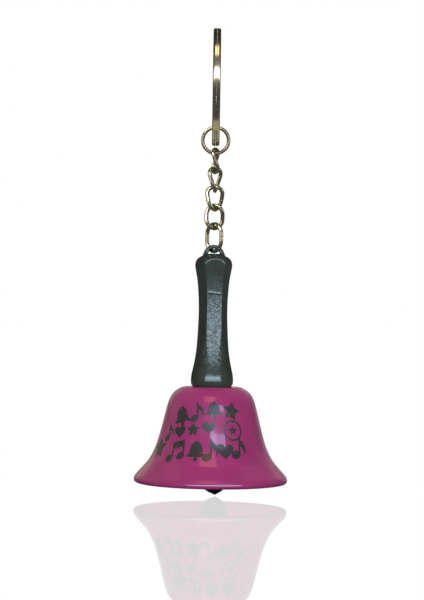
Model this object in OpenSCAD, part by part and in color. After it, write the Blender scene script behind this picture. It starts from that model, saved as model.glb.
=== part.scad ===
// Key-ring hand bell. A pressed metal bell on a moulded handle hangs by a short twisted
// chain from a flat split ring. Millimetres, +Z up, front towards -Y. The origin is where a
// hook bears: the inside of the split ring's top. Every piece hangs in the one above it, so
// heights are worked out downwards from there.

/* [Split ring] */
// Outer diameter of the flat split ring
ring_d = 29.1; // [27:0.1:32]
// Width of the flat wire, measured along the ring's radius
ring_w = 4.0; // [3:0.1:4]
// Thickness of one of the two coils
coil_t = 0.92; // [0.7:0.02:1]
// Angle that the step from one coil to the other takes
step_angle = 34; // [20:1:60]

/* [Chain] */
// Outer diameter of the round jump ring
jump_d = 7.3; // [7.2:0.1:8]
// Wire diameter of the jump ring
jump_wire = 0.88; // [0.6:0.02:0.9]
// Outer length of a chain link
link_l = 6.65; // [6.4:0.05:7.5]
// Outer width of a chain link
link_w = 5.0; // [4.6:0.1:5.4]
// Wire diameter of the chain links
link_wire = 1.0; // [0.8:0.02:1]
// Angle that each link is twisted through from its top to its bottom
link_twist = 60; // [45:1:65]
// Outer length of the last link, which holds the handle's eyelet
eyelet_link_l = 7.7; // [7.4:0.1:8.5]
// Outer width of the last link
eyelet_link_w = 6.2; // [6:0.1:6.6]

/* [Handle] */
// Length of the handle without its eyelet
handle_l = 32.6; // [32:0.1:40]
// Largest diameter of the shoulder under the eyelet
shoulder_d = 9.4; // [9.3:0.1:10.5]
// Diameter over the edges at the waist
waist_d = 7.4; // [6.8:0.1:7.6]
// Largest diameter of the round foot
foot_d = 10.45; // [10:0.05:12]
// Distance between opposite flats at the narrowest place
flats_w = 6.2; // [5.8:0.02:6.6]
// Radius that the front and back flats are hollowed along the handle's upper half
front_upper_r = 95; // [80:1:120]
// Radius that the four side flats are hollowed along the handle's upper half
side_upper_r = 66; // [60:1:90]
// Radius that all the flats are hollowed along the handle's lower half
flat_lower_r = 60; // [55:1:80]
// Angle that the flats are turned away from facing the front squarely
flats_turn = 6; // [0:1:15]
// Thickness of the eyelet's bar
eyelet_bar = 0.95; // [0.8:0.05:0.95]
// Outer width of the eyelet
eyelet_w = 4.95; // [4.95:0.05:5.4]

/* [Bell shell] */
// Outer diameter of the rim
rim_d = 38; // [37.5:0.1:40]
// Height of the shell
shell_h = 23.9; // [23.7:0.1:26]
// Thickness of the pressed metal
wall_t = 0.8; // [0.6:0.05:1]

/* [Fasteners] */
// Thread diameter of the eye bolt
bolt_d = 3; // [2.5:0.1:3]
// Wire diameter of the bolt's eye
eye_wire = 1.2; // [1:0.05:1.3]
// Width across the nut's flats
nut_af = 5.5; // [5:0.1:6]
// Height of the nut
nut_h = 2.2; // [1.8:0.1:2.4]

/* [Clapper] */
// Wire diameter of the ring between the eye and the rod
clapper_ring_wire = 0.9; // [0.8:0.05:1]
// Wire diameter of the clapper rod
rod_d = 1.0; // [0.8:0.05:1.1]
// Largest diameter of the bob
bob_d = 6.8; // [6.7:0.1:7.4]
// How far the bob's point hangs below the rim
bob_drop = 3.0; // [1:0.1:4]
// Angle that the clapper leans to the right as it hangs
clapper_lean = 4.5; // [0:0.5:6]

/* [Hidden] */
$fn = 96;

play = 0.02;           // gap between pieces that hang in each other
coil_gap = 0.04;       // gap between the split ring's coils
coil_edge = 0.32;      // rounding of the coils' outer edges
side_n = 12;           // sides of a swept wire
plated = "lightgoldenrodyellow";
steel = "silver";
black_plastic = [0.13, 0.14, 0.15];
magenta_paint = [0.62, 0.12, 0.38];

// Split ring
ring_r = ring_d / 2;
ring_in_r = ring_r - ring_w;
ring_z = -ring_in_r;
ring_low_in = 2 * ring_z;
ring_half_t = coil_t + coil_gap / 2;

// Jump ring: it hangs on the two inner edges of the split ring's lowest section
jump_r = (jump_d - jump_wire) / 2;
jump_in_r = jump_r - jump_wire / 2;
jump_z = ring_low_in - sqrt(pow(jump_in_r, 2) - pow(ring_half_t, 2)) - play;
jump_low = jump_z - jump_r;

// Chain links: highest point of each centre line, and the turn of each link about Z
link_pitch = link_l - 2 * link_wire - play;
link_1_top = jump_low + jump_wire / 2 + link_wire / 2 + play;
link_h = link_l - link_wire;
function link_top(i) = link_1_top - (i - 1) * link_pitch;
function link_turn(i) = 90 - (i - 1) * (90 - link_twist);

// Last link: untwisted, set across the eyelet
eyelet_link_h = eyelet_link_l - link_wire;
eyelet_link_turn = -48;
eyelet_link_top = link_top(5);
eyelet_link_low = eyelet_link_top - eyelet_link_h;

// Eyelet: a round bar in the XZ plane; the last link crosses it aslant, which costs height
eyelet_r = (eyelet_w - eyelet_bar) / 2;
eyelet_lift = 1.1;      // height that the aslant crossing costs
eyelet_root = 0.5;      // length of the legs inside the handle
eyelet_flare = 0.25;    // widening of the legs where they meet the handle
flare_h = 0.8;
eyelet_bar_z = eyelet_link_low + eyelet_lift;
eyelet_z = eyelet_bar_z - eyelet_r;
handle_top = eyelet_z;
handle_foot = handle_top - handle_l;
top_rise = 0.28;        // height of the low dome under the eyelet
flat_mid_z = handle_top - 13.9;
edge_power = 60;        // the higher, the sharper the edges between the flats

// Shell and what clamps it
crown_z = handle_foot;
rim_z = crown_z - shell_h;
lip_r = 0.8;            // rounding of the rim's outer edge
washer_d = 7;
washer_t = 0.5;
lock_w = 1.2;
lock_t = 0.7;
washer_z = crown_z - wall_t;
lock_z = washer_z - washer_t;
nut_z = lock_z - lock_t;
nut_low = nut_z - nut_h;
nut_chamfer = 0.35;
insert_d = 4.6;
insert_h = 6;
bore_spare = 0.3;       // depth of the handle's bore beyond the insert
through = 1;            // how far a cut runs out of what it cuts
bolt_up = 5.2;
hole_play = 0.1;

// Clapper
eye_r = 1.6;
eye_neck = 0.7;         // bare shank between the nut and the eye
eye_z = nut_low - eye_neck - eye_r - eye_wire / 2;
eye_low = eye_z - eye_r;
clapper_ring_r = 2.0;
clapper_ring_top = eye_low + eye_wire / 2 + clapper_ring_wire / 2 + play;
clapper_ring_z = clapper_ring_top - clapper_ring_r;
clapper_ring_low = clapper_ring_z - clapper_ring_r;
rod_loop_r = 1.3;
rod_loop_top = clapper_ring_low + clapper_ring_wire / 2 + rod_d / 2 + play;
rod_loop_z = rod_loop_top - rod_loop_r;
bob_tip_z = rim_z - bob_drop;
bob_h = 7.6;
bob_top_z = bob_tip_z + bob_h;
rod_in_bob = 3;

// --- Curves ---------------------------------------------------------------------------

// Point at t, from 0 to 1, between b and c of a smooth curve through a, b, c and d
function smooth_at(a, b, c, d, t) =
    b + t * ((c - a) / 2 + t * ((a - 2.5 * b + 2 * c - d / 2) + t * (1.5 * (b - c) + (d - a) / 2)));

// Smooth curve through all the knots, with n steps between each two
function smooth(knots, n) =
    let (last = len(knots) - 1)
    concat([for (i = [0 : last - 1], j = [0 : n - 1])
                smooth_at(knots[max(i - 1, 0)], knots[i], knots[i + 1],
                          knots[min(i + 2, last)], j / n)],
           [knots[last]]);

// The curve moved sideways by t, to the right of the way it runs
function beside(curve, t) =
    let (last = len(curve) - 1)
    [for (i = [0 : last])
        let (run = curve[min(i + 1, last)] - curve[max(i - 1, 0)])
        curve[i] + t * [run[1], -run[0]] / norm(run)];

// Point of an oval centre line, s along it from the top; r is its end radius and f half of
// its straight stretch
function half_oval(s, r, f) =
    let (quarter = PI * r / 2, deg = 180 / PI)
    s < quarter ? [r * sin(s / r * deg), f + r * cos(s / r * deg)] :
    s < quarter + 2 * f ? [r, f + quarter - s] :
    [r * sin((s - 2 * f) / r * deg), -f + r * cos((s - 2 * f) / r * deg)];
function oval(s, r, f) =
    let (half = PI * r + 2 * f, p = half_oval(s <= half ? s : 2 * half - s, r, f))
    [s <= half ? p[0] : -p[0], p[1]];

// --- Swept wires ----------------------------------------------------------------------

function unit(v) = v / norm(v);

// Faces of a tube of n rings of k points each
function tube_faces(n, k, closed) =
    concat([for (i = [0 : n - (closed ? 1 : 2)], j = [0 : k - 1])
                [i * k + j, i * k + (j + 1) % k, ((i + 1) % n) * k + (j + 1) % k, ((i + 1) % n) * k + j]],
           closed ? [] : [[for (j = [k - 1 : -1 : 0]) j], [for (j = [0 : k - 1]) (n - 1) * k + j]]);

// Oval link of round wire, its centre at the origin, twisted evenly about Z; turn is the
// angle of its plane at half height
module link(width, length, wire, turn, twist) {
    rings = 44;
    r = (width - wire) / 2;
    h = length - wire;
    f = h / 2 - r;
    path = 2 * PI * r + 4 * f;
    edge_r = wire / 2 / cos(90 / side_n);
    function plane_at(z) = turn - twist * z / h;
    function at(s) =
        let (p = oval(s, r, f), a = plane_at(p[1]))
        [p[0] * cos(a), p[0] * sin(a), p[1]];
    points = [for (i = [0 : rings - 1])
        let (s = i * path / rings,
             c = at(s),
             run = unit(at((s + 0.01) % path) - at((s + path - 0.01) % path)),
             a = plane_at(c[2]),
             out = unit(cross(run, [-sin(a), cos(a), 0])),
             side = cross(out, run))
        for (j = [0 : side_n - 1])
            c + edge_r * (cos(j * 360 / side_n) * out + sin(j * 360 / side_n) * side)];
    polyhedron(points, tube_faces(rings, side_n, true), convexity = 4);
}

module wire_ring(r, wire) {
    rotate_extrude()
        translate([r, 0])
            circle(d = wire, $fn = 32);
}

// Solid of revolution from a half outline of [radius, z] points
module turned(outline) {
    rotate_extrude()
        polygon(outline);
}

// --- Rings and chain ------------------------------------------------------------------

// One flat wire in nearly two turns: half of it lies in each coil, with the step between
module split_ring() {
    turn_step = 6;
    free = step_angle + 6;
    half_w = ring_w / 2;
    mid_r = ring_r - half_w;
    shift = (coil_t + coil_gap) / 2;
    e = coil_edge;
    section = [[-half_w, -coil_t / 2], [half_w, -coil_t / 2], [half_w, coil_t / 2 - e],
               [half_w - e * 0.3, coil_t / 2 - e * 0.3], [half_w - e, coil_t / 2],
               [e - half_w, coil_t / 2], [e * 0.3 - half_w, coil_t / 2 - e * 0.3],
               [-half_w, coil_t / 2 - e]];
    k = len(section);
    function step_at(a) = min(1, max(0, (a - 360) / step_angle));
    function coil_x(a) = shift * cos(180 * step_at(a));
    angles = [for (a = [free : turn_step : 720 - 6]) a];
    points = [for (a = angles)
        let (x = coil_x(a), flip = x >= 0 ? 1 : -1, out = [0, sin(a), cos(a)])
        for (j = [0 : k - 1])
            let (q = section[flip > 0 ? j : k - 1 - j])
            (mid_r + q[0]) * out + [x + flip * q[1], 0, 0]];
    color(plated)
        translate([0, 0, ring_z])
            rotate([-90, 0, 0])
                polyhedron(points, tube_faces(len(angles), k, false), convexity = 6);
}

// Round wire bent to a ring, with the butt joint at the right
module jump_ring() {
    color(plated)
        translate([0, 0, jump_z])
            rotate([90, 2, 0])
                rotate_extrude(angle = 357)
                    translate([jump_r, 0])
                        circle(d = jump_wire, $fn = 32);
}

module chain_link(i) {
    color(plated)
        translate([0, 0, link_top(i) - link_h / 2])
            link(link_w, link_l, link_wire, link_turn(i), link_twist);
}

module eyelet_link() {
    color(plated)
        translate([0, 0, eyelet_link_top - eyelet_link_h / 2])
            link(eyelet_link_w, eyelet_link_l, link_wire, eyelet_link_turn, 0);
}

// --- Handle ---------------------------------------------------------------------------

// Radius of the turned body at each ring of the loft: a domed shoulder, a waist, a round foot
function handle_curve() =
    let (top_knots = [[1.0, top_rise], [1.7, top_rise / 2], [2.5, -0.12], [3.3, -0.5],
                      [4.0, -0.98], [4.38, -1.6], [4.62, -2.3], [shoulder_d / 2, -3.0],
                      [4.57, -4.0], [4.22, -5.37], [3.95, -7.12], [3.78, -9.82],
                      [waist_d / 2, -13.42]],
         low_knots = [[waist_d / 2, 18.3], [3.72, 14], [3.96, 9.4], [4.37, 6.4], [4.76, 4.5],
                      [5.04, 3.2], [foot_d / 2 - 0.05, 2.3], [foot_d / 2, 1.3],
                      [foot_d / 2 - 0.12, 0.5], [foot_d / 2 - 0.45, 0]])
    concat([for (p = smooth(top_knots, 2)) [p[0], handle_top + p[1]]],
           [for (p = smooth(low_knots, 2)) [p[0], handle_foot + p[1]]]);

// Distance from the axis to flat k of six, 1 at the back and 4 at the front
function flat_off(z, k) =
    let (upper_r = k == 1 || k == 4 ? front_upper_r : side_upper_r,
         hollow_r = z > flat_mid_z ? upper_r : flat_lower_r)
    flats_w / 2 + pow(z - flat_mid_z, 2) / (2 * hollow_r);

// Radius at height z and angle a of the prism that the six flats enclose
function flat_at(z, a) =
    min([for (k = [0 : 5])
        let (c = cos(a - 30 - 60 * k))
        if (c > 0.5)
            flat_off(z, k) / c]);

// The smaller of body and flat, with the edge between them slightly rounded
function handle_r(body, flat) = pow(pow(body, -edge_power) + pow(flat, -edge_power), -1 / edge_power);

module handle_body() {
    around = 48;
    rings = handle_curve();
    points = [for (p = rings, j = [0 : around - 1])
        let (a = j * 360 / around, r = handle_r(p[0], flat_at(p[1], a)))
        [r * cos(a), r * sin(a), p[1]]];
    rotate([0, 0, flats_turn])
        polyhedron(points, tube_faces(len(rings), around, false), convexity = 4);
}

// Arch of round bar, its legs running down into the handle's top
module eyelet() {
    translate([0, 0, eyelet_z]) {
        rotate([90, 0, 0])
            rotate_extrude(angle = 180)
                translate([eyelet_r, 0])
                    circle(d = eyelet_bar, $fn = 32);
        for (x = [-eyelet_r, eyelet_r])
            translate([x, 0, -eyelet_root])
                cylinder(r1 = eyelet_bar / 2 + eyelet_flare, r2 = eyelet_bar / 2 - play,
                         h = eyelet_root + flare_h, $fn = 32);
    }
}

module handle() {
    color(black_plastic)
        difference() {
            union() {
                handle_body();
                eyelet();
            }
            translate([0, 0, handle_foot - through])
                cylinder(d = insert_d, h = through + insert_h + bore_spare);
        }
}

module threaded_insert() {
    color("goldenrod")
        translate([0, 0, handle_foot])
            difference() {
                cylinder(d = insert_d - play, h = insert_h);
                translate([0, 0, -through])
                    cylinder(d = bolt_d, h = insert_h + 2 * through);
            }
}

// --- Bell shell and its fasteners -----------------------------------------------------

module bell_shell() {
    rim_r = rim_d / 2;
    hole_r = bolt_d / 2 + hole_play;
    knots = [[5.2, 0], [6.9, -0.1], [7.9, -0.5], [8.95, -1.15], [9.77, -2.0], [10.27, -2.85],
             [10.79, -4.2], [11.42, -6.6], [12.1, -9.4], [12.87, -12.3], [13.8, -15.2],
             [15.2, -18.0], [16.55, -19.7], [17.8, -21.1], [18.6, -22.0], [rim_r - 0.06, -22.7],
             [rim_r, -shell_h + lip_r]];
    outside = smooth(knots, 4);
    inside = beside(outside, wall_t);
    last = len(inside) - 1;
    lip = [for (a = [15 : 15 : 90])
        [rim_r - lip_r * (1 - cos(a)), -shell_h + lip_r * (1 - sin(a))]];
    color(magenta_paint)
        translate([0, 0, crown_z])
            turned(concat([[hole_r, 0]],
                          outside,
                          lip,
                          [for (i = [last : -1 : 0]) inside[i]],
                          [[hole_r, -wall_t]]));
}

module crown_washer() {
    color(steel)
        translate([0, 0, washer_z - washer_t])
            difference() {
                cylinder(d = washer_d, h = washer_t);
                translate([0, 0, -through])
                    cylinder(d = bolt_d + 2 * hole_play, h = washer_t + 2 * through);
            }
}

// Spring washer, cut through at one place
module lock_washer() {
    inner = bolt_d / 2 + hole_play;
    color(steel)
        translate([0, 0, lock_z - lock_t])
            rotate_extrude(angle = 348)
                translate([inner, 0])
                    square([lock_w, lock_t]);
}

module hex_nut() {
    corner_d = nut_af / cos(30);
    color(steel)
        translate([0, 0, nut_low])
            difference() {
                intersection() {
                    cylinder(d = corner_d, h = nut_h, $fn = 6);
                    turned([[0, 0], [nut_af / 2, 0], [corner_d / 2, nut_chamfer],
                            [corner_d / 2, nut_h - nut_chamfer], [nut_af / 2, nut_h],
                            [0, nut_h]]);
                }
                translate([0, 0, -through])
                    cylinder(d = bolt_d, h = nut_h + 2 * through);
            }
}

// Bolt with a round eye, its hole along Y
module eye_bolt() {
    shank_low = eye_z + eye_r;
    color(steel) {
        translate([0, 0, shank_low])
            cylinder(d = bolt_d - play, h = crown_z + bolt_up - shank_low);
        translate([0, 0, eye_z])
            rotate([90, 0, 0])
                wire_ring(eye_r, eye_wire);
    }
}

// --- Clapper --------------------------------------------------------------------------

module clapper_ring() {
    color(steel)
        translate([0, 0, clapper_ring_z])
            rotate([0, 90, 0])
                wire_ring(clapper_ring_r, clapper_ring_wire);
}

// Turns the rod and bob about the bottom of the ring that they hang in
module leaning() {
    translate([0, 0, clapper_ring_low])
        rotate([0, -clapper_lean, 0])
            translate([0, 0, -clapper_ring_low])
                children();
}

module clapper_rod() {
    shank_top = rod_loop_z - rod_loop_r;
    shank_low = bob_top_z - rod_in_bob;
    color(steel)
        leaning() {
            translate([0, 0, rod_loop_z])
                rotate([90, 0, 0])
                    wire_ring(rod_loop_r, rod_d);
            translate([0, 0, shank_low])
                cylinder(d = rod_d, h = shank_top - shank_low);
        }
}

// Onion-shaped bob with a short collar and a point
module clapper_bob() {
    bob_r = bob_d / 2;
    knots = [[1.05, bob_h], [1.15, 6.9], [2.1, 6.2], [3.0, 5.35], [bob_r, 4.1], [3.28, 2.85],
             [2.8, 1.8], [2.2, 1.2], [1.6, 0.76], [0.8, 0.36], [0.15, 0]];
    color(black_plastic)
        leaning()
            difference() {
                turned(concat([[0, bob_top_z]],
                              [for (p = smooth(knots, 4)) [p[0], bob_tip_z + p[1]]],
                              [[0, bob_tip_z]]));
                translate([0, 0, bob_top_z - rod_in_bob])
                    cylinder(d = rod_d + play, h = rod_in_bob + through);
            }
}

split_ring();
jump_ring();
chain_link(1);  // chain_link_1
chain_link(2);  // chain_link_2
chain_link(3);  // chain_link_3
chain_link(4);  // chain_link_4
eyelet_link();
handle();
threaded_insert();
bell_shell();
crown_washer();
lock_washer();
hex_nut();
eye_bolt();
clapper_ring();
clapper_rod();
clapper_bob();
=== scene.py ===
"""Looks of a key-ring hand bell: a magenta painted bell with a printed motif on a black hex-waisted
handle, hung by a short twisted chain from a flat split ring. Metres, the CAD model's frame.

The object's lengths are written in millimetres and turned into metres by MM. The camera, the floor
and the lights' distances and sizes are in metres.
"""
import math

import bmesh
import bpy
from mathutils import Matrix, Vector


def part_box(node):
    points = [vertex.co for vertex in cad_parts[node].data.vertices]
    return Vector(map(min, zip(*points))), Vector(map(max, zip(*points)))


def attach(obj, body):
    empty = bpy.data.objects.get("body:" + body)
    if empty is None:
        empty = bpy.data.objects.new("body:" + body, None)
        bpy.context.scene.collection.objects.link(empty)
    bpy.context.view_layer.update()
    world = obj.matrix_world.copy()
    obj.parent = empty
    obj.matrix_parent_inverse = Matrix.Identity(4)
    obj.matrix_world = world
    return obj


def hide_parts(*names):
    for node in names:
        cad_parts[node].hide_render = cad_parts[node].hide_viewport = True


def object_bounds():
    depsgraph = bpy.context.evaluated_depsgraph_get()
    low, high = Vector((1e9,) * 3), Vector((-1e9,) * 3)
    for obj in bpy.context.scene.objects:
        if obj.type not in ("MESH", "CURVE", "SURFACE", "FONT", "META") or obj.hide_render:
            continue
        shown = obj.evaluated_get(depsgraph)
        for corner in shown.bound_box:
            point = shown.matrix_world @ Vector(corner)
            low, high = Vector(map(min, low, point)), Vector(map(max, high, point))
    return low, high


MM = 0.001
Y_AXIS = Vector((0, 1, 0))
Z_AXIS = Vector((0, 0, 1))
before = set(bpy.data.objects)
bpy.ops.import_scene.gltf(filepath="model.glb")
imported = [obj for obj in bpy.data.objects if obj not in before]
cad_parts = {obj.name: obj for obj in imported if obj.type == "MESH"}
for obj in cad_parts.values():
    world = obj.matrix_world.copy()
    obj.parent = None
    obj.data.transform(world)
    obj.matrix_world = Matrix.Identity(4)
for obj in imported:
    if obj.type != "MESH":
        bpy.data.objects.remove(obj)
cad_lo, cad_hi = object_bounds()


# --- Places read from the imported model, in millimetres -----------------------------------


def box_mm(node):
    lo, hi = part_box(node)
    return lo / MM, hi / MM


def middle(node):
    lo, hi = box_mm(node)
    return (lo + hi) / 2


def height(node):
    lo, hi = box_mm(node)
    return hi.z - lo.z


shell_lo, shell_hi = box_mm("bell_shell")
CROWN = shell_hi.z
SHELL_H = shell_hi.z - shell_lo.z
RIM_R = (shell_hi.x - shell_lo.x) / 2
WALL_T = CROWN - box_mm("crown_washer")[1].z


# --- Mesh helpers ------------------------------------------------------------------------


def smooth_at(a, b, c, d, t):
    """Point at share t of the way from b to c, on the smooth curve through a, b, c and d."""
    return b + t * ((c - a) / 2 + t * ((a - 2.5 * b + 2 * c - d / 2) + t * (1.5 * (b - c) + (d - a) / 2)))


def smooth(knots, n):
    """Smooth curve through all the knots, with n steps between each two."""
    pts = [Vector(k) for k in knots]
    last = len(pts) - 1
    out = []
    for i in range(last):
        a, b, c, d = pts[max(i - 1, 0)], pts[i], pts[i + 1], pts[min(i + 2, last)]
        out += [smooth_at(a, b, c, d, j / n) for j in range(n)]
    return out + [pts[last]]


def beside(curve, t):
    """The plane curve moved by t to the right of the way it runs."""
    last = len(curve) - 1
    out = []
    for i in range(last + 1):
        run = curve[min(i + 1, last)] - curve[max(i - 1, 0)]
        out.append(curve[i] + t * Vector((run.y, -run.x)).normalized())
    return out


def add_piece(name, verts, faces, mat, body, slot, stands_for=(), crease=38.0):
    """A mesh piece from points in millimetres; edges sharper than crease stay sharp."""
    mesh = bpy.data.meshes.new(name)
    mesh.from_pydata([tuple(Vector(v) * MM) for v in verts], [], faces)
    bm = bmesh.new()
    bm.from_mesh(mesh)
    bmesh.ops.remove_doubles(bm, verts=bm.verts, dist=1e-7)
    bmesh.ops.recalc_face_normals(bm, faces=bm.faces)
    limit = math.radians(crease)
    for f in bm.faces:
        f.smooth = True
    for e in bm.edges:
        e.smooth = len(e.link_faces) == 2 and e.calc_face_angle(0.0) < limit
    bm.to_mesh(mesh)
    bm.free()
    mesh.materials.append(mat)
    obj = bpy.data.objects.new(name, mesh)
    bpy.context.scene.collection.objects.link(obj)
    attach(obj, body)
    if stands_for:
        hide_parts(*stands_for)
    return obj


def grid_faces(rows, cols, closed):
    """Faces between rows of points, each row a closed loop; closed joins the last row to the first."""
    faces = []
    for i in range(rows if closed else rows - 1):
        for j in range(cols):
            a, b = i * cols, ((i + 1) % rows) * cols
            k = (j + 1) % cols
            faces.append((a + j, a + k, b + k, b + j))
    return faces


def end_caps(rows, cols):
    """The two faces that close the first row and the last."""
    return [tuple(range(cols - 1, -1, -1)), tuple((rows - 1) * cols + j for j in range(cols))]


def lathe(profile, around, closed=True):
    """Points and faces of a half outline [(radius, z)] turned about Z."""
    verts = []
    for r, z in profile:
        for j in range(around):
            a = 2 * math.pi * j / around
            verts.append((r * math.cos(a), r * math.sin(a), z))
    return verts, grid_faces(len(profile), around, closed)


def tube(path, across, radii, sides, closed=True):
    """Round wire along path, with one radius per point. across is a direction roughly across the path,
    or a list with one per point."""
    n = len(path)
    normals = across if isinstance(across, list) else [across] * n
    verts = []
    for i, p in enumerate(path):
        before = path[i - 1] if (closed or i > 0) else p
        after = path[(i + 1) % n] if (closed or i < n - 1) else p
        run = (after - before).normalized()
        out = run.cross(normals[i]).normalized()
        side = out.cross(run)
        for j in range(sides):
            t = 2 * math.pi * j / sides
            verts.append(p + radii[i] * (math.cos(t) * out + math.sin(t) * side))
    return verts, grid_faces(n, sides, closed) + ([] if closed else end_caps(n, sides))


def cut_ends(path, radius, chamfer):
    """Radii of an open wire whose cut ends are slightly broken; the path gains a point at each end."""
    first = path[0] + (path[0] - path[1]).normalized() * chamfer
    last = path[-1] + (path[-1] - path[-2]).normalized() * chamfer
    return [first] + path + [last], [radius - chamfer] + [radius] * len(path) + [radius - chamfer]


def joined(*parts):
    """Several (points, faces) as one."""
    verts, faces = [], []
    for v, f in parts:
        shift = len(verts)
        verts += [Vector(p) for p in v]
        faces += [tuple(i + shift for i in face) for face in f]
    return verts, faces


# --- Materials ---------------------------------------------------------------------------


class Mat:
    """A Principled material being wired up."""

    def __init__(self, name, base, rough, metal=0.0):
        self.mat = bpy.data.materials.new(name)
        self.mat.use_nodes = True
        self.nodes = self.mat.node_tree.nodes
        self.links = self.mat.node_tree.links
        self.bsdf = self.nodes["Principled BSDF"]
        self.set("Base Color", (*base, 1))
        self.set("Roughness", rough)
        self.set("Metallic", metal)
        self.set("IOR", 1.5)
        self.coord = self.nodes.new("ShaderNodeTexCoord")
        self.height = None

    def set(self, socket, value):
        self.bsdf.inputs[socket].default_value = value

    def place(self, stretch=(1, 1, 1)):
        """Object coordinates in millimetres, stretched along the axes."""
        m = self.nodes.new("ShaderNodeMapping")
        m.inputs["Scale"].default_value = [s / MM for s in stretch]
        self.links.new(self.coord.outputs["Object"], m.inputs["Vector"])
        return m.outputs["Vector"]

    def noise(self, per_mm, detail, rough=0.5, stretch=(1, 1, 1), distortion=0.0):
        n = self.nodes.new("ShaderNodeTexNoise")
        n.inputs["Scale"].default_value = per_mm
        n.inputs["Detail"].default_value = detail
        n.inputs["Roughness"].default_value = rough
        n.inputs["Distortion"].default_value = distortion
        self.links.new(self.place(stretch), n.inputs["Vector"])
        return n.outputs["Fac"]

    def span(self, value, in_lo, in_hi, out_lo=0.0, out_hi=1.0):
        r = self.nodes.new("ShaderNodeMapRange")
        for name, v in (("From Min", in_lo), ("From Max", in_hi), ("To Min", out_lo), ("To Max", out_hi)):
            r.inputs[name].default_value = v
        self.links.new(value, r.inputs["Value"])
        return r.outputs["Result"]

    def blend(self, fac, a, b):
        m = self.nodes.new("ShaderNodeMix")
        m.data_type = "RGBA"
        m.inputs["A"].default_value = (*a, 1)
        m.inputs["B"].default_value = (*b, 1)
        self.links.new(fac, m.inputs["Factor"])
        return m.outputs["Result"]

    def times(self, a, b):
        m = self.nodes.new("ShaderNodeMath")
        m.operation = "MULTIPLY"
        self.links.new(a, m.inputs[0])
        self.links.new(b, m.inputs[1])
        return m.outputs[0]

    def band(self, high, low, soft):
        """1 between two heights in millimetres, fading over soft to 0.1 outside them."""
        split = self.nodes.new("ShaderNodeSeparateXYZ")
        self.links.new(self.place(), split.inputs[0])
        above = self.span(split.outputs["Z"], high + soft, high, 0.1, 1.0)
        below = self.span(split.outputs["Z"], low - soft, low, 0.1, 1.0)
        return self.times(above, below)

    def wire(self, socket, value):
        self.links.new(value, self.bsdf.inputs[socket])

    def bump(self, value, depth):
        """Adds relief: depth in millimetres at value 1."""
        b = self.nodes.new("ShaderNodeBump")
        b.inputs["Distance"].default_value = depth * MM
        self.links.new(value, b.inputs["Height"])
        if self.height is not None:
            self.links.new(self.height, b.inputs["Normal"])
        self.height = b.outputs["Normal"]
        self.links.new(self.height, self.bsdf.inputs["Normal"])


def paint(name, base, shade, rough):
    """Gloss paint over pressed metal: faint orange peel, dust nibs, slight unevenness of colour."""
    m = Mat(name, base, rough)
    m.wire("Base Color", m.blend(m.span(m.noise(0.16, 3), 0.35, 0.65), base, shade))
    m.wire("Roughness", m.span(m.noise(0.9, 4, 0.6), 0.3, 0.75, rough, rough + 0.05))
    m.bump(m.noise(1.1, 2, 0.4), 0.006)
    m.bump(m.span(m.noise(3.4, 1), 0.74, 0.80), 0.012)
    return m


def plated(name, bright, dull, rough):
    """Thin nickel-brass plating on bent wire: drawn scratches, dull worn patches, small pits."""
    m = Mat(name, bright, rough, metal=1.0)
    worn = m.span(m.noise(0.45, 3, 0.55), 0.42, 0.66)
    m.wire("Base Color", m.blend(worn, bright, dull))
    m.wire("Roughness", m.span(m.noise(0.8, 3, 0.5), 0.35, 0.7, rough, rough + 0.06))
    m.bump(m.noise(0.5, 2, 0.4), 0.004)
    m.bump(m.span(m.noise(2.2, 1), 0.78, 0.84), -0.002)
    return m


def plastic(name):
    """Moulded black plastic: high gloss with a shallow mottled skin and a few handling scuffs."""
    m = Mat(name, (0.032, 0.034, 0.026), 0.16)
    m.wire("Base Color", m.blend(m.span(m.noise(0.5, 4), 0.3, 0.7),
                                 (0.030, 0.032, 0.024), (0.042, 0.043, 0.034)))
    m.wire("Roughness", m.span(m.noise(1.6, 5, 0.65), 0.32, 0.72, 0.12, 0.22))
    m.bump(m.noise(0.35, 1), 0.02)
    pits = m.span(m.noise(1.0, 4, 0.62, stretch=(1, 1, 0.9), distortion=0.8), 0.42, 0.62)
    m.bump(m.times(pits, m.band(-65.5, -77.0, 4.0)), -0.036)
    m.bump(m.span(m.noise(0.9, 1), 0.76, 0.80), 0.02)
    return m


def turned_steel(name, tone=(0.62, 0.61, 0.59), rough=0.28):
    """Zinc-plated steel hardware: faint rings, dull flecks."""
    m = Mat(name, tone, rough, metal=1.0)
    m.wire("Base Color", m.blend(m.span(m.noise(1.3, 4), 0.35, 0.7), tone, tuple(0.72 * c for c in tone)))
    m.wire("Roughness", m.span(m.noise(3.0, 4), 0.3, 0.7, rough - 0.06, rough + 0.12))
    m.bump(m.noise(7.0, 3, 0.6, stretch=(0.4, 0.4, 2.5)), 0.006)
    return m


magenta = paint("magenta_gloss_paint", (0.276, 0.0258, 0.101), (0.250, 0.0228, 0.091), 0.05)
ink = paint("black_print_ink", (0.026, 0.022, 0.022), (0.034, 0.027, 0.028), 0.24)
black_gloss = paint("black_gloss_paint", (0.013, 0.013, 0.012), (0.019, 0.018, 0.016), 0.12)
handle_plastic = plastic("black_moulded_plastic")
plating = plated("nickel_brass_plating", (0.66, 0.635, 0.50), (0.53, 0.49, 0.345), 0.10)
ring_plating = plated("split_ring_plating", (0.56, 0.52, 0.42), (0.43, 0.39, 0.29), 0.16)
steel = turned_steel("zinc_plated_steel")
brass = turned_steel("turned_brass", (0.78, 0.57, 0.24), 0.24)

for node, kind in (("threaded_insert", brass), ("crown_washer", steel),
                   ("lock_washer", steel), ("hex_nut", steel)):
    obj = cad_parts[node]
    obj.data.materials.clear()
    obj.data.materials.append(kind.mat)


# --- Split ring --------------------------------------------------------------------------


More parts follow.
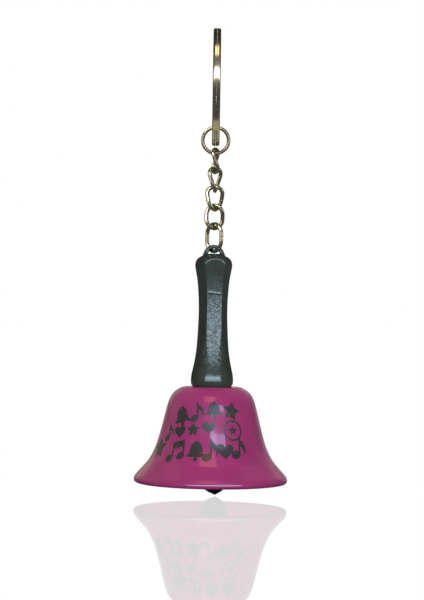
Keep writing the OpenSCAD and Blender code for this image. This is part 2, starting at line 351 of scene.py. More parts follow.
def split_ring():
    """Two flat coils side by side, with softened edges; their inner top is at the origin."""
    lo, hi = box_mm("split_ring")
    centre_z = (lo.z + hi.z) / 2
    outer_r = (hi.z - lo.z) / 2
    gap = 0.04
    thick = (hi.x - lo.x - gap) / 2
    half_w = (outer_r + centre_z) / 2
    mid_r = outer_r - half_w
    shift = (thick + gap) / 2
    half_t = thick / 2
    inner_edge = 0.10
    outer_edge = (0.42, 0.58)
    corner = 7
    section = []
    for cx, cy, ex, ey, a0 in (
        (inner_edge - half_w, inner_edge - half_t, inner_edge, inner_edge, 180),
        (half_w - inner_edge, inner_edge - half_t, inner_edge, inner_edge, 270),
        (half_w - outer_edge[0], half_t - outer_edge[1], *outer_edge, 0),
        (outer_edge[0] - half_w, half_t - outer_edge[1], *outer_edge, 90),
    ):
        for i in range(corner + 1):
            a = math.radians(a0 + 90 * i / corner)
            section.append((cx + ex * math.cos(a), cy + ey * math.sin(a)))
    k = len(section)
    # The strip runs nearly two turns, and steps from one coil to the other over crossing degrees
    crossing = 34.0
    first, last, step = crossing + 6.0, 714.0, 2.0
    count = int((last - first) / step) + 1
    verts = []
    for i in range(count):
        a = first + step * i
        along = min(1.0, max(0.0, (a - 360.0) / crossing))
        x = shift * math.cos(math.pi * along)
        flip = 1 if x >= 0 else -1
        end = min(i, count - 1 - i)
        tuck = 0.10 if end == 0 else 0.0
        rad = math.radians(a)
        out = Vector((0, math.cos(rad), -math.sin(rad)))
        for j in range(k):
            q = section[j if flip > 0 else k - 1 - j]
            w = q[0] * (1 - tuck / half_w)
            t = q[1] * (1 - tuck / half_t)
            verts.append((mid_r + w) * out + Vector((x + flip * t, 0, centre_z)))
    return verts, grid_faces(count, k, False) + end_caps(count, k)


add_piece("split_ring_coils", *split_ring(), ring_plating.mat, "split_ring", "plated", ["split_ring"])


# --- Jump ring and chain -----------------------------------------------------------------


def bent_ring(centre, radius, wire, plane_turn, joint_at, gap_deg):
    """Round wire bent to a ring in an upright plane, its cut ends meeting at joint_at degrees."""
    turn = math.radians(plane_turn)
    u = Vector((math.cos(turn), math.sin(turn), 0))
    n = Vector((-math.sin(turn), math.cos(turn), 0))
    steps = 120
    path = []
    for i in range(steps + 1):
        t = i / steps
        a = math.radians(joint_at + gap_deg / 2 + t * (360 - gap_deg))
        path.append(centre + radius * (math.cos(a) * u + math.sin(a) * Z_AXIS))
    path, radii = cut_ends(path, wire / 2, 0.05)
    return tube(path, n, radii, 24, closed=False)


def jump_ring():
    lo, hi = box_mm("jump_ring")
    wire = hi.y - lo.y
    radius = (hi.z - lo.z - wire) / 2
    return bent_ring((lo + hi) / 2, radius, wire, plane_turn=0, joint_at=4.0, gap_deg=2.6)


add_piece("jump_ring_wire", *jump_ring(), plating.mat, "jump_ring", "plated", ["jump_ring"])


def half_oval(s, r, f):
    """Point s along the right half of an oval with end radius r and straight sides 2 f long."""
    quarter = math.pi * r / 2
    if s < quarter:
        return r * math.sin(s / r), f + r * math.cos(s / r)
    if s < quarter + 2 * f:
        return r, f + quarter - s
    return r * math.sin((s - 2 * f) / r), -f + r * math.cos((s - 2 * f) / r)


def oval(s, r, f):
    """Point s along the whole oval, from its top."""
    half = math.pi * r + 2 * f
    x, z = half_oval(s if s <= half else 2 * half - s, r, f)
    return (x if s <= half else -x), z


def link(centre, width, length, wire, turn, twist, seam_at):
    """Oval link twisted about Z, closed with a fine butt seam seam_at of the way round."""
    r = (width - wire) / 2
    h = length - wire
    f = h / 2 - r
    path_len = 2 * math.pi * r + 4 * f
    rings = 150
    groove_half, groove_depth = 0.05, 0.045

    def at(s):
        x, z = oval(s % path_len, r, f)
        a = math.radians(turn - twist * z / h)
        return Vector((x * math.cos(a), x * math.sin(a), z)), a

    seam_s = seam_at * path_len
    places = [i * path_len / rings for i in range(rings)]
    places = [s for s in places if abs(s - seam_s) > 0.09]
    places += [seam_s + d for d in (-0.07, -0.03, 0.0, 0.03, 0.07)]
    places.sort()
    path, normals, radii = [], [], []
    for s in places:
        p, a = at(s)
        path.append(p + centre)
        normals.append(Vector((-math.sin(a), math.cos(a), 0)))
        groove = max(0.0, 1 - abs(s - seam_s) / groove_half)
        radii.append(wire / 2 - groove_depth * groove)
    return tube(path, normals, radii, 24)


LINK_WIRE = 1.0
LINK_W = 5.0
LINK_L = height("chain_link_1")
LINK_TWIST = 60.0
LINK_TURN_STEP = 30
EYELET_LINK_W = 6.2
for i in range(1, 5):
    name = f"chain_link_{i}"
    shape = link(middle(name), LINK_W, LINK_L, LINK_WIRE, turn=90 - (i - 1) * LINK_TURN_STEP,
                 twist=LINK_TWIST, seam_at=0.27 if i % 2 else 0.77)
    add_piece(f"{name}_wire", *shape, plating.mat, f"link_{i}", "plated", [name])
shape = link(middle("eyelet_link"), EYELET_LINK_W, height("eyelet_link"), LINK_WIRE, turn=-48,
             twist=0, seam_at=0.24)
add_piece("eyelet_link_wire", *shape, plating.mat, "eyelet_link", "plated", ["eyelet_link"])


# --- Handle ------------------------------------------------------------------------------

handle_lo, handle_hi = box_mm("handle")
FOOT = handle_lo.z
EYELET_W = 4.95
EYELET_BAR = 0.95
EYELET_R = (EYELET_W - EYELET_BAR) / 2
EYELET_Z = handle_hi.z - EYELET_W / 2
HANDLE_TOP = EYELET_Z
FLAT_MID = HANDLE_TOP - 13.9
FLAT_HALF = 3.1
FRONT_UPPER_R = 95.0
SIDE_UPPER_R = 66.0
FLAT_LOWER_R = 60.0
FLATS_TURN = math.radians(6)
CREASE_Z = HANDLE_TOP - 9.5
CREASE = 0.042
CREASE_SAG = 0.12
CREASE_HALF = 0.20
CREASE_REACH = 26
SEAM = 0.018
SEAM_HALF = 0.09
EYELET_FLARE = 0.30
EYELET_FLARE_H = 0.45
BORE_R = 2.3
BORE_H = 6.3
EDGE_OFFSETS = (-1.4, -0.9, -0.45, 0.45, 0.9, 1.4)
TOP_KNOTS = [(1.0, 0.28), (1.7, 0.14), (2.5, -0.12), (3.3, -0.5), (4.0, -0.98), (4.38, -1.6), (4.62, -2.3),
             (4.7, -3.0), (4.57, -4.0), (4.22, -5.37), (3.95, -7.12), (3.78, -9.82), (3.7, -13.42)]
LOW_KNOTS = [(3.7, 18.3), (3.72, 14), (3.96, 9.4), (4.37, 6.4), (4.76, 4.5), (5.04, 3.2),
             (5.175, 2.3), (5.225, 1.3), (5.105, 0.5), (4.775, 0)]


def handle_radius(a, r, z):
    """The turned body cut by six hollowed flats, with slightly rounded edges, a fine crease across
    the front flat and a faint mould seam at the two sides."""
    flat = math.inf
    for k in range(6):
        c = math.cos(a - FLATS_TURN - math.radians(30 + 60 * k))
        if c > 0.5:
            upper_r = FRONT_UPPER_R if k in (1, 4) else SIDE_UPPER_R
            hollow_r = upper_r if z > FLAT_MID else FLAT_LOWER_R
            flat = min(flat, (FLAT_HALF + (z - FLAT_MID) ** 2 / (2 * hollow_r)) / c)
    across = math.degrees(a - FLATS_TURN) - 270
    if abs(across) < CREASE_REACH:
        sag = -CREASE_SAG * math.sin(math.radians(across * 3))
        flat += CREASE * math.exp(-((z - sag - CREASE_Z) / CREASE_HALF) ** 2)
    power = 60  # the higher, the sharper the edges of the flats
    least = min(r, flat)
    cut = least * ((least / r) ** power + (least / flat) ** power) ** (-1 / power)
    seam = abs(math.sin(a)) * r
    return cut + SEAM * max(0.0, 1 - seam / SEAM_HALF)


def handle_angles():
    """Angles round the handle, closer together at the flats' edges and the mould seam."""
    angles = set()
    for j in range(240):
        angles.add(round(j * 1.5, 3))
    for edge in range(6, 366, 60):
        for d in EDGE_OFFSETS:
            angles.add(round((edge + d) % 360, 3))
    for d in EDGE_OFFSETS:
        angles.add(round(d % 360, 3))
        angles.add(180 + d)
    return [math.radians(a) for a in sorted(angles)]


def with_rings(outline, low, high, step):
    """The outline with extra points every step of height between low and high."""
    out = []
    for a, b in zip(outline, outline[1:]):
        out.append(a)
        z = math.floor(min(a.y, high) / step) * step
        while z > max(b.y, low) + step / 4:
            if z < a.y - step / 4:
                t = (a.y - z) / (a.y - b.y)
                out.append(Vector((a.x + t * (b.x - a.x), z)))
            z -= step
    return out + [outline[-1]]


def handle_body():
    outline = [Vector((p.x, HANDLE_TOP + p.y)) for p in smooth(TOP_KNOTS, 6)]
    outline += [Vector((p.x, FOOT + p.y)) for p in smooth(LOW_KNOTS, 7)]
    outline = with_rings(outline, CREASE_Z - 0.7, CREASE_Z + 0.4, 0.06)
    angles = handle_angles()
    n = len(angles)
    verts = []
    for r, z in outline:
        for a in angles:
            q = handle_radius(a, r, z)
            verts.append(Vector((q * math.cos(a), q * math.sin(a), z)))
    # A blind bore in the foot takes the insert
    bore = [(BORE_R + 0.01, FOOT), (BORE_R, FOOT + BORE_H), (0.6, FOOT + BORE_H + 0.3)]
    for r, z in bore:
        for a in angles:
            verts.append(Vector((r * math.cos(a), r * math.sin(a), z)))
    rows = len(outline) + len(bore)
    return verts, grid_faces(rows, n, False) + end_caps(rows, n)


def handle_eyelet():
    """Round arch whose legs flare into the handle's shoulder."""
    leg = 0.5
    path = [Vector((EYELET_R, 0, EYELET_Z - leg * (1 - i / 12))) for i in range(12)]
    for i in range(49):
        a = math.pi * i / 48
        path.append(Vector((EYELET_R * math.cos(a), 0, EYELET_Z + EYELET_R * math.sin(a))))
    path += [Vector((-EYELET_R, 0, EYELET_Z - leg * (i + 1) / 12)) for i in range(12)]
    radii = []
    for p in path:
        above = max(0.0, p.z - HANDLE_TOP)
        radii.append(EYELET_BAR / 2 + EYELET_FLARE * math.exp(-above / EYELET_FLARE_H))
    return tube(path, Y_AXIS, radii, 28, closed=False)


add_piece("handle_grip", *joined(handle_body(), handle_eyelet()), handle_plastic.mat, "bell",
          "black_plastic", ["handle"], crease=50)


# --- Bell shell --------------------------------------------------------------------------

LIP_R = 0.8
SHELL_KNOTS = [(5.2, 0), (6.9, -0.1), (7.9, -0.5), (8.95, -1.15), (9.77, -2.0), (10.27, -2.85),
               (10.79, -4.2), (11.42, -6.6), (12.1, -9.4), (12.87, -12.3), (13.8, -15.2), (15.2, -18.0),
               (16.55, -19.7), (17.8, -21.1), (18.6, -22.0), (RIM_R - 0.06, -22.7),
               (RIM_R, -SHELL_H + LIP_R)]
OUTSIDE = smooth(SHELL_KNOTS, 9)


def shell_outline():
    inside = beside(OUTSIDE, WALL_T)
    lip = []
    centre = Vector((RIM_R - LIP_R, -SHELL_H + LIP_R))
    for i in range(1, 13):
        a = math.radians(-88 * i / 12)
        lip.append(centre + LIP_R * Vector((math.cos(a), math.sin(a))))
    lip.append(Vector((RIM_R - LIP_R, -SHELL_H + 0.03)))
    hole = 1.6
    points = [Vector((hole, -0.06)), Vector((hole + 0.06, 0))] + OUTSIDE + lip + inside[::-1]
    points += [Vector((hole + 0.06, -WALL_T)), Vector((hole, -WALL_T + 0.06))]
    return [(p.x, CROWN + p.y) for p in points]


add_piece("bell_shell_pressing", *lathe(shell_outline(), 200), magenta.mat, "bell",
          "magenta_paint", ["bell_shell"], crease=45)


# --- Printed motif -----------------------------------------------------------------------
# Flat shapes, about one unit high, laid on the shell as a thin film of ink.


def circle(cx, cy, r, n, squash=1.0, tilt=0.0):
    t = math.radians(tilt)
    pts = []
    for i in range(n):
        a = 2 * math.pi * i / n
        x, y = r * math.cos(a), r * squash * math.sin(a)
        pts.append((cx + x * math.cos(t) - y * math.sin(t), cy + x * math.sin(t) + y * math.cos(t)))
    return pts


def star_shape(r=0.58, inner=0.31):
    pts = []
    for i in range(10):
        a = math.radians(90 + 36 * i)
        q = r if i % 2 == 0 else inner
        pts.append((q * math.cos(a), q * math.sin(a)))
    return [pts]


def heart_shape(size=0.034):
    pts = []
    for i in range(48):
        t = 2 * math.pi * i / 48
        x = 16 * math.sin(t) ** 3
        y = 13 * math.cos(t) - 5 * math.cos(2 * t) - 2 * math.cos(3 * t) - math.cos(4 * t)
        pts.append((x * size, y * size + 0.06))
    return [pts]


def bell_icon():
    side = [(0.0, 0.50), (0.09, 0.47), (0.12, 0.40), (0.24, 0.33), (0.31, 0.18), (0.34, -0.02),
            (0.40, -0.17), (0.50, -0.27), (0.50, -0.33)]
    pts = side + [(-x, y) for x, y in reversed(side) if x > 0]
    return [pts, circle(0, -0.43, 0.11, 24)]


def quaver():
    head = circle(-0.17, -0.33, 0.26, 32, 0.76, 24)
    stem = [(-0.03, -0.30), (0.085, -0.30), (0.085, 0.14), (0.22, 0.02), (0.30, -0.12), (0.27, -0.30),
            (0.42, -0.08), (0.39, 0.16), (0.24, 0.32), (0.085, 0.44), (0.085, 0.54), (-0.03, 0.54)]
    return [head, stem]


def beamed_quavers():
    heads = [circle(-0.40, -0.33, 0.23, 32, 0.76, 24), circle(0.28, -0.24, 0.23, 32, 0.76, 24)]
    beam = [(-0.27, -0.30), (-0.17, -0.30), (-0.17, 0.14), (0.345, 0.23), (0.345, -0.20), (0.45, -0.20),
            (0.45, 0.56), (-0.27, 0.44)]
    return heads + [beam]


def ringed_star():
    """The outlines of a ring, and of the star inside it."""
    return [circle(0, 0, 0.62, 56), circle(0, 0, 0.50, 56)], star_shape(0.34, 0.15)


# Motif: what, angle about the bell from the front, height under the crown, size, tilt
MOTIF = [
    ("bell", -38, -6.9, 4.7, 14), ("quaver", -18, -5.9, 4.3, 8), ("bell", 3, -5.2, 4.0, 0),
    ("star", 25, -5.6, 4.1, -14),
    ("quaver", -54, -11.1, 3.9, 12), ("heart", -37.5, -10.8, 3.0, 10), ("star", -21, -10.1, 3.1, 4),
    ("heart", -3, -9.6, 3.1, 0), ("ring", 25, -10.2, 4.0, 0),
    ("star", -65, -15.1, 4.6, 12), ("beamed", -37, -15.4, 4.8, 6), ("bell", -15, -15.0, 4.7, 0),
    ("quaver", -0.5, -14.9, 4.9, 0), ("heart", 14.5, -15.2, 3.9, -4), ("quaver", 30, -14.5, 4.8, -8),
]


def shell_point(angle, arc, z):
    """Place on the shell's outside arc mm to the right of angle, with its outward normal."""
    for i in range(len(OUTSIDE) - 1):
        a, b = OUTSIDE[i], OUTSIDE[i + 1]
        if a.y >= z >= b.y:
            t = (a.y - z) / (a.y - b.y)
            r = a.x + t * (b.x - a.x)
            run = (OUTSIDE[min(i + 2, len(OUTSIDE) - 1)] - OUTSIDE[max(i - 1, 0)]).normalized()
            turn = math.radians(angle) + arc / r
            out = Vector((math.sin(turn), -math.cos(turn), 0))
            normal = (-run.y * out + run.x * Z_AXIS).normalized()
            return out * r + Vector((0, 0, CROWN + z)), normal
    raise ValueError("the motif runs off the shell")


def filled(outlines):
    """Flat mesh of outlines: each is filled, or cut out of the first when it lies inside that."""
    bm = bmesh.new()
    edges = []
    for pts in outlines:
        vs = [bm.verts.new((x, y, 0)) for x, y in pts]
        edges += [bm.edges.new((vs[i], vs[(i + 1) % len(vs)])) for i in range(len(vs))]
    bmesh.ops.triangle_fill(bm, edges=edges, use_beauty=True)
    return bm


def lay_on_shell(bm, angle, z, size, tilt, film=0.03, sunk=0.03, cell=0.42):
    """Scales and turns the flat shape, cuts it finely and bends it onto the shell as a thin film."""
    turn = Matrix.Rotation(math.radians(tilt), 4, "Z") @ Matrix.Scale(size, 4)
    bmesh.ops.transform(bm, matrix=turn, verts=bm.verts)
    reach = size * 0.8
    steps = int(2 * reach / cell) + 1
    for axis in (Vector((1, 0, 0)), Vector((0, 1, 0))):
        for i in range(steps + 1):
            geom = bm.verts[:] + bm.edges[:] + bm.faces[:]
            cut_at = axis * (i * cell - reach)
            bmesh.ops.bisect_plane(bm, geom=geom, dist=1e-5, plane_co=cut_at, plane_no=axis)
    for v in bm.verts:
        v.co.z = 0
    rim = [e for e in bm.edges if len(e.link_faces) == 1]
    made = bmesh.ops.extrude_edge_only(bm, edges=rim)["geom"]
    low = {g for g in made if isinstance(g, bmesh.types.BMVert)}
    places = [(v, shell_point(angle, v.co.x, z + v.co.y), v in low) for v in bm.verts]
    for v, (p, normal), is_low in places:
        v.co = p + normal * (-sunk if is_low else film)
    verts = [v.co.copy() for v in bm.verts]
    bm.verts.index_update()
    # Sorted, because the cuts leave the faces in an order that changes from run to run
    faces = sorted(tuple(v.index for v in f.verts) for f in bm.faces)
    bm.free()
    return verts, faces


def motif():
    makers = {"bell": bell_icon, "quaver": quaver, "beamed": beamed_quavers, "star": star_shape,
              "heart": heart_shape}
    parts = []
    for what, angle, z, size, tilt in MOTIF:
        if what == "ring":
            ring, star = ringed_star()
            parts.append(lay_on_shell(filled(ring), angle, z, size, tilt))
            parts.append(lay_on_shell(filled(star), angle, z, size, tilt))
        else:
            for outline in makers[what]():
                parts.append(lay_on_shell(filled([outline]), angle, z, size, tilt))
    return joined(*parts)


add_piece("printed_motif", *motif(), ink.mat, "bell", "black_paint", crease=60)


# --- Eye bolt, clapper -------------------------------------------------------------------


def eye_bolt():
    """Threaded shank, and an eye bent from the same rod, its end meeting the shank."""
    lo, hi = box_mm("eye_bolt")
    wire = 1.2
    eye_r = 1.6
    centre = Vector((0, 0, lo.z + eye_r + wire / 2))
    shank_low = centre.z + eye_r
    pitch, depth, major = 0.5, 0.25, 1.48
    around, per_turn = 48, 10
    rows = int((hi.z - shank_low) / pitch * per_turn)
    verts = []
    for i in range(rows + 1):
        z = shank_low + (hi.z - shank_low) * i / rows
        for j in range(around):
            a = 2 * math.pi * j / around
            phase = ((z - shank_low) / pitch - j / around) % 1.0
            flank = min(1.0, max(0.0, 1.25 - 2.5 * abs(phase - 0.5)))
            fade = min(1.0, (hi.z - z) / 0.3, (z - shank_low) / 0.3)
            r = major - depth * (1 - flank) - 0.2 * (1 - fade)
            verts.append(Vector((r * math.cos(a), r * math.sin(a), z)))
    shank = (verts, grid_faces(rows + 1, around, False) + end_caps(rows + 1, around))
    steps, eye_start, eye_sweep = 96, 104, 338
    path = []
    for i in range(steps + 1):
        a = math.radians(eye_start + eye_sweep * i / steps)
        path.append(centre + eye_r * Vector((math.cos(a), 0, math.sin(a))))
    path, radii = cut_ends(path, wire / 2, 0.06)
    neck = [Vector((0, 0, shank_low + 0.55)), Vector((-0.02, 0, shank_low + 0.25)),
            Vector((-0.16, 0, shank_low)), Vector((-0.39, 0, shank_low - 0.06))]
    eye_wire = tube(path, Y_AXIS, radii, 24, closed=False)
    return joined(shank, eye_wire, tube(neck, Y_AXIS, [0.95, 0.8, 0.66, 0.6], 24, closed=False))


add_piece("eye_bolt_threaded", *eye_bolt(), steel.mat, "bell", "steel", ["eye_bolt"], crease=50)


def clapper_ring():
    lo, hi = box_mm("clapper_ring")
    wire = hi.x - lo.x
    radius = (hi.z - lo.z - wire) / 2
    return bent_ring((lo + hi) / 2, radius, wire, plane_turn=90, joint_at=200.0, gap_deg=4.0)


add_piece("clapper_ring_wire", *clapper_ring(), steel.mat, "clapper_ring", "steel", ["clapper_ring"])


LEAN = math.radians(4.5)
CLAPPER_RING_WIRE = 0.9
HANGING_GAP = 0.02
CLAPPER_PIVOT = Vector((0, 0, box_mm("clapper_ring")[0].z + CLAPPER_RING_WIRE / 2))


def leaning(verts, faces):
    """Points turned by LEAN about the bottom of the ring that the clapper hangs in."""
    turn = Matrix.Rotation(-LEAN, 3, "Y")
    return [turn @ (Vector(v) - CLAPPER_PIVOT) + CLAPPER_PIVOT for v in verts], faces


ROD_WIRE = 1.0
ROD_LOOP_R = 1.3
ROD_LOOP_Z = CLAPPER_PIVOT.z + CLAPPER_RING_WIRE / 2 + ROD_WIRE / 2 + HANGING_GAP - ROD_LOOP_R
BOB_TIP_Z = CROWN - SHELL_H - 3.0
BOB_H = 7.6


def clapper_rod():
    """Straight rod that swings aside at its top and is bent round into a loop."""
    loop_r = ROD_LOOP_R
    loop = Vector((0, 0, ROD_LOOP_Z))
    low = BOB_TIP_Z + BOB_H - 3.0
    path = [Vector((0, 0, low + (loop.z - 2.5 - low) * i / 8)) for i in range(9)]
    start, sweep, steps = -52, 322, 72
    join = [(0, 0, loop.z - 2.5), (0.05, 0, loop.z - 2.1), (0.28, 0, loop.z - 1.6),
            (loop_r * math.cos(math.radians(start)), 0, loop.z + loop_r * math.sin(math.radians(start)))]
    path += smooth(join, 5)[1:]
    for i in range(1, steps + 1):
        a = math.radians(start + sweep * i / steps)
        path.append(loop + loop_r * Vector((math.cos(a), 0, math.sin(a))))
    path, radii = cut_ends(path, ROD_WIRE / 2, 0.05)
    return tube(path, Y_AXIS, radii, 24, closed=False)


add_piece("clapper_rod_wire", *leaning(*clapper_rod()), steel.mat, "clapper", "steel", ["clapper_rod"])


def clapper_bob():
    """Turned bob with a collar above and a point below, open at the top round the rod."""
    top = BOB_TIP_Z + BOB_H
    knots = [(1.05, BOB_H), (1.15, 6.9), (2.1, 6.2), (3.0, 5.35), (3.4, 4.1), (3.28, 2.85), (2.8, 1.8),
             (2.2, 1.2), (1.6, 0.76), (0.8, 0.36), (0.15, 0)]
    outline = [(0.52, top - 1.0), (0.52, top - 0.05), (0.57, top)]
    outline += [(max(p.x, 0.0), BOB_TIP_Z + p.y) for p in smooth(knots, 8)]
    outline += [(0.0, BOB_TIP_Z)]
    around = 96
    verts, faces = lathe(outline, around, closed=False)
    return verts, faces + end_caps(len(outline), around)[:1]


add_piece("clapper_bob_turned", *leaning(*clapper_bob()), black_gloss.mat, "clapper", "black_paint",
          ["clapper_bob"], crease=50)


# --- Camera ------------------------------------------------------------------------------

CAMERA_AWAY = 0.5
CAMERA_AT = Vector((-0.0003, -CAMERA_AWAY, -0.0633))
camera_data = bpy.data.cameras.new("camera")
camera_data.sensor_width = 36.0
camera_data.lens = 121.0
camera_data.clip_start = 0.01
camera_data.clip_end = 20.0
camera = bpy.data.objects.new("camera", camera_data)
camera.matrix_world = (Matrix.Translation(CAMERA_AT) @ Matrix.Rotation(math.radians(90), 4, "X")
                       @ Matrix.Rotation(math.radians(0.9), 4, "Z"))
bpy.context.scene.collection.objects.link(camera)
bpy.context.scene.camera = camera
bpy.context.scene.view_settings.view_transform = "Standard"


# --- Floor, surroundings and lights ------------------------------------------------------


def floor(z, size, mirror_share):
    """White glossy table top: white to the eye, with a faint mirror image of what hangs over it."""
    mesh = bpy.data.meshes.new("floor")
    h = size / 2
    mesh.from_pydata([(-h, -h, z), (h, -h, z), (h, h, z), (-h, h, z)], [], [(0, 1, 2, 3)])
    obj = bpy.data.objects.new("floor", mesh)
    bpy.context.scene.collection.objects.link(obj)
    mat = bpy.data.materials.new("white_gloss_table")
    mat.use_nodes = True
    nodes, links = mat.node_tree.nodes, mat.node_tree.links
    nodes.clear()
    out = nodes.new("ShaderNodeOutputMaterial")
    seen = nodes.new("ShaderNodeLightPath")
    glow = nodes.new("ShaderNodeEmission")
    glow.inputs["Color"].default_value = (1, 1, 1, 1)
    gloss = nodes.new("ShaderNodeBsdfGlossy")
    gloss.inputs["Roughness"].default_value = 0.0
    gloss.inputs["Color"].default_value = (1, 1, 1, 1)
    matte = nodes.new("ShaderNodeBsdfDiffuse")
    matte.inputs["Color"].default_value = (0.22, 0.22, 0.20, 1)
    top = nodes.new("ShaderNodeMixShader")
    top.inputs["Fac"].default_value = mirror_share
    links.new(glow.outputs[0], top.inputs[1])
    links.new(gloss.outputs[0], top.inputs[2])
    both = nodes.new("ShaderNodeMixShader")
    links.new(seen.outputs["Is Camera Ray"], both.inputs["Fac"])
    links.new(matte.outputs[0], both.inputs[1])
    links.new(top.outputs[0], both.inputs[2])
    links.new(both.outputs[0], out.inputs["Surface"])
    mesh.materials.append(mat)


FLOOR_Z = cad_lo.z - 0.0002
floor(FLOOR_Z, 6.0, 0.335)


def surroundings(ambient, mirrored_front, mirrored_back, tint):
    """White background. The object itself is lit by an even ambient light, and what it mirrors is a
    dim room, darker behind it."""
    world = bpy.data.worlds.new("studio")
    bpy.context.scene.world = world
    world.use_nodes = True
    nodes, links = world.node_tree.nodes, world.node_tree.links
    nodes.clear()

    def background(colour, strength):
        node = nodes.new("ShaderNodeBackground")
        node.inputs["Color"].default_value = (*colour, 1)
        node.inputs["Strength"].default_value = strength
        return node

    def pick(fac, a, b):
        node = nodes.new("ShaderNodeMixShader")
        links.new(fac, node.inputs["Fac"])
        links.new(a.outputs[0], node.inputs[1])
        links.new(b.outputs[0], node.inputs[2])
        return node

    white = background((1, 1, 1), 1.0)
    even = background((1, 1, 1), ambient)
    dim = background(tint, 1.0)
    coord = nodes.new("ShaderNodeTexCoord")
    split = nodes.new("ShaderNodeSeparateXYZ")
    links.new(coord.outputs["Generated"], split.inputs[0])
    level = nodes.new("ShaderNodeMapRange")
    level.inputs["From Min"].default_value = -1.0
    level.inputs["From Max"].default_value = 0.3
    level.inputs["To Min"].default_value = mirrored_front
    level.inputs["To Max"].default_value = mirrored_back
    links.new(split.outputs["Y"], level.inputs["Value"])
    links.new(level.outputs["Result"], dim.inputs["Strength"])
    seen = nodes.new("ShaderNodeLightPath")
    either = nodes.new("ShaderNodeMath")
    either.operation = "MAXIMUM"
    links.new(seen.outputs["Is Camera Ray"], either.inputs[0])
    links.new(seen.outputs["Is Singular Ray"], either.inputs[1])
    lit = pick(seen.outputs["Is Diffuse Ray"], dim, even)
    out = nodes.new("ShaderNodeOutputWorld")
    links.new(pick(either.outputs[0], lit, white).outputs[0], out.inputs["Surface"])


surroundings(0.40, 0.26, 0.05, (1.0, 0.98, 0.80))


def soft_light(name, aim_z, azimuth, elevation, away, width, tall, radiance, tint, only=None, gloss=True):
    """Rectangular soft box that faces the point aim_z mm up the object's axis. Azimuth 0 is in front
    and positive to the right; radiance is what a mirror would show. only names the pieces it lights."""
    data = bpy.data.lights.new(name, "AREA")
    data.shape = "RECTANGLE"
    data.size = width
    data.size_y = tall
    data.color = tint
    data.energy = radiance * math.pi * width * tall
    obj = bpy.data.objects.new(name, data)
    a, e = math.radians(azimuth), math.radians(elevation)
    back = Vector((math.sin(a) * math.cos(e), -math.cos(a) * math.cos(e), math.sin(e)))
    obj.rotation_mode = "QUATERNION"
    obj.location = Vector((0, 0, aim_z * MM)) + back * away
    obj.rotation_quaternion = (-back).to_track_quat("-Z", "Y")
    obj.visible_camera = False
    obj.visible_glossy = gloss
    bpy.context.scene.collection.objects.link(obj)
    if only:
        group = bpy.data.collections.new(name + "_lights")
        for piece in only:
            group.objects.link(bpy.data.objects[piece])
        obj.light_linking.receiver_collection = group
    return obj


DAYLIGHT = (0.62, 0.84, 1.0)
SHELL = ["bell_shell_pressing"]
PAINTED = SHELL + ["printed_motif"]
GRIP = ["handle_grip"]
UNPLATED = PAINTED + GRIP + ["clapper_bob_turned", "eye_bolt_threaded", "clapper_ring_wire",
                             "clapper_rod_wire", "hex_nut", "crown_washer", "lock_washer"]
SPLIT = ["split_ring_coils"]
CHAIN = ["jump_ring_wire", "eyelet_link_wire"] + [f"chain_link_{i}_wire" for i in range(1, 5)]

# The window and the bright sky in it, mirrored by the handle's front flat and by the bell's lip
soft_light("window", -72, 6, 3.5, 0.80, 1.45, 0.26, 6.3, DAYLIGHT, only=UNPLATED)
soft_light("window_bright", -72, 4, 12.5, 0.79, 1.35, 0.14, 6.9, DAYLIGHT, only=UNPLATED)
soft_light("window_jamb_right", -62, 50, -7, 0.80, 0.20, 0.20, 5.0, DAYLIGHT, only=GRIP)
soft_light("window_jamb_left", -62, -34, -6, 0.80, 0.14, 0.16, 3.0, DAYLIGHT, only=GRIP)
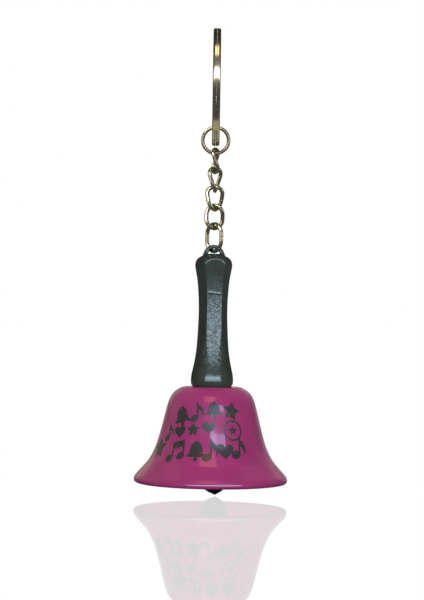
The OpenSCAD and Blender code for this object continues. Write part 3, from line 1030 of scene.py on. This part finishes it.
# What the bell's flank and shoulder mirror
soft_light("upper_window", -97, 16, 28.2, 0.80, 0.44, 0.088, 6.0, (0.46, 0.62, 1.0), only=PAINTED)
soft_light("upper_sash", -97, 5, 27.3, 0.79, 0.20, 0.06, 2.6, (0.50, 0.68, 1.0), only=SHELL)
soft_light("upper_sheen", -97, 8, 24.5, 0.81, 0.80, 0.10, 0.5, (0.75, 0.95, 1.0), only=SHELL)
soft_light("warm_ceiling", -97, -7, 55.5, 0.60, 0.25, 0.33, 3.0, (1.0, 0.36, 0.28), only=PAINTED)
soft_light("left_glow", -97, -125, 38, 0.8, 1.2, 0.9, 0.26, (1.0, 0.95, 0.75), only=PAINTED)
soft_light("right_glow", -97, 140, 45, 0.8, 0.8, 0.8, 0.22, (0.9, 0.88, 1.0), only=PAINTED)
soft_light("left_room", -97, -140, 6, 0.8, 1.5, 0.7, 0.11, (1.0, 0.95, 0.75), only=PAINTED)
soft_light("right_room", -97, 140, 6, 0.8, 1.5, 0.7, 0.13, (0.9, 0.9, 1.0), only=PAINTED)
soft_light("back_room", -97, 180, 4, 0.8, 1.3, 0.7, 0.18, (0.95, 0.95, 0.9), only=PAINTED)
# What the split ring mirrors, then the chain
soft_light("ring_key", -10, 5, 23, 0.80, 2.6, 0.28, 4.6, (1.0, 0.99, 0.96), only=SPLIT)
soft_light("ring_gold", -10, 0, 70, 0.60, 0.20, 0.22, 5.2, (1.0, 0.68, 0.36), only=SPLIT)
soft_light("ring_under", -24, 180, -80, 0.05, 0.075, 0.075, 0.58, (1.0, 0.95, 0.54), only=SPLIT)
soft_light("ring_low", -10, 0, -30, 0.85, 0.55, 0.45, 0.26, (1.0, 0.92, 0.78), only=SPLIT)
soft_light("chain_front", -35, 8, 0, 0.85, 0.26, 0.70, 1.0, (1.0, 0.97, 0.85), only=CHAIN)
soft_light("chain_key", -35, -22, 44, 0.80, 0.9, 0.26, 5.4, (1.0, 0.99, 0.93), only=CHAIN)
soft_light("chain_left", -35, -66, 4, 0.85, 0.13, 0.70, 5.4, (1.0, 0.98, 0.90), only=CHAIN)
soft_light("chain_right", -35, 74, 2, 0.85, 0.11, 0.70, 4.2, (1.0, 0.97, 0.86), only=CHAIN)
# White table below, which lights the bell's inside, and some light for the back
bounce = soft_light("table_bounce", 0, 0, 0, 0.1, 0.022, 0.022, 5.0, (1.0, 1.0, 1.0), only=PAINTED,
                    gloss=False)
bounce.location = (0, 0, FLOOR_Z + 0.0001)
bounce.rotation_quaternion = Z_AXIS.to_track_quat("-Z", "Y")
soft_light("back_fill", -60, 180, 35, 0.9, 0.9, 0.7, 1.2, (1.0, 1.0, 0.95), gloss=False)
